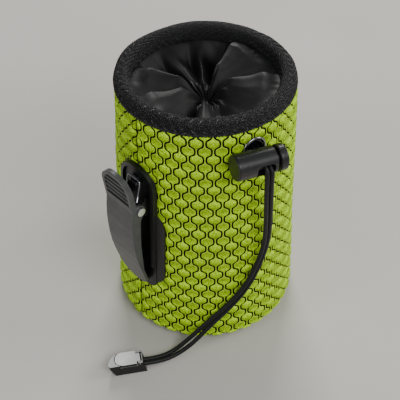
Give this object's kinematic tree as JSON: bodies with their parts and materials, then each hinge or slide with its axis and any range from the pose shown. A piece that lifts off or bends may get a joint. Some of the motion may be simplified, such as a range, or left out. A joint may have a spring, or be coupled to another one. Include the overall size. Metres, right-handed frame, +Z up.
{
  "type": "treat pouch",
  "caption": "Cylindrical drawstring treat pouch with padded fabric wall, gathered nylon closure, cord lock, hanging drawcord with a cord end, and a sprung belt clip.",
  "frame": {"origin": "centre of the base, on the surface the pouch stands on", "axes": "+Z up the pouch, -X out of the belt clip, the cord lock and drawcord on the -Y side"},
  "size_m": [0.123, 0.1015, 0.136],
  "materials": {
    "lime_fabric": "matte printed mesh, lime with black wavy cells",
    "base_fabric": "matte coated fabric",
    "stiffener_plastic": "matte",
    "foam": "matte open foam",
    "lining_nylon": "satin ripstop nylon",
    "skirt_nylon": "satin nylon",
    "binding_tape": "matte herringbone tape",
    "eyelet_metal": "gunmetal, polished",
    "spring_steel": "bright wire",
    "pin_metal": "nickel, satin",
    "cord_black": "braided cord",
    "lock_plastic": "satin moulded",
    "clip_plastic": "satin moulded",
    "flap_plastic": "fine-textured satin",
    "end_plastic": "satin moulded",
    "end_lid_plastic": "polished moulded"
  },
  "bodies": {
    "pouch": {"outer_shell": "lime_fabric", "bottom_panel": "base_fabric", "bottom_stiffener": "stiffener_plastic", "foam_padding": "foam", "liner_wall": "lining_nylon", "liner_bottom": "lining_nylon", "rim_hoop": "spring_steel", "rim_binding": "binding_tape", "closure_skirt": "skirt_nylon", "eyelet_ring": "eyelet_metal", "eyelet_washer": "eyelet_metal", "drawcord_inner": "cord_black", "drawcord_strand_a": "cord_black", "drawcord_strand_b": "cord_black", "drawcord_knot": "cord_black", "clip_base": "clip_plastic", "clip_backing_plate": "stiffener_plastic", "clip_rivets": "eyelet_metal", "clip_pin": "pin_metal", "clip_spring": "spring_steel", "cord_end_base": "end_plastic", "cord_end_pin": "pin_metal"},
    "cord_lock": {"cord_lock_barrel": "lock_plastic", "cord_lock_endcap": "lock_plastic", "cord_lock_spring": "spring_steel"},
    "lock_plunger": {"cord_lock_plunger": "lock_plastic"},
    "clip_flap": {"clip_flap": "flap_plastic"},
    "cord_end_lid": {"cord_end_lid": "end_lid_plastic"}
  },
  "joints": [
    {"name": "clip_flap_hinge", "type": "hinge", "parent": "pouch", "child": "clip_flap", "pos_m": [-0.04896, -0.00592, 0.087], "axis": [-0.1201, 0.9928, 0], "range_deg": [0, 18], "stiffness_Nm_per_rad": 0.5, "springref_deg": -20.05, "deforming": ["clip_spring"]},
    {"name": "lock_slide", "type": "slide", "parent": "pouch", "child": "cord_lock", "axis": [-0.0113, -0.0538, -0.9985], "range_m": [0, 0.03], "deforming": ["drawcord_inner", "drawcord_strand_a", "drawcord_strand_b"]},
    {"name": "plunger_press", "type": "slide", "parent": "cord_lock", "child": "lock_plunger", "axis": [-0.9768, 0.2054, 0.0601], "range_m": [0, 0.0015], "stiffness_N_per_m": 600, "springref_m": -0.004, "deforming": ["cord_lock_spring"]},
    {"name": "cord_end_lid_hinge", "type": "hinge", "parent": "pouch", "child": "cord_end_lid", "pos_m": [-0.06257, -0.02958, 0.0063], "axis": [0.4251, 0.9052, 0], "range_deg": [0, 90]}
  ]
}
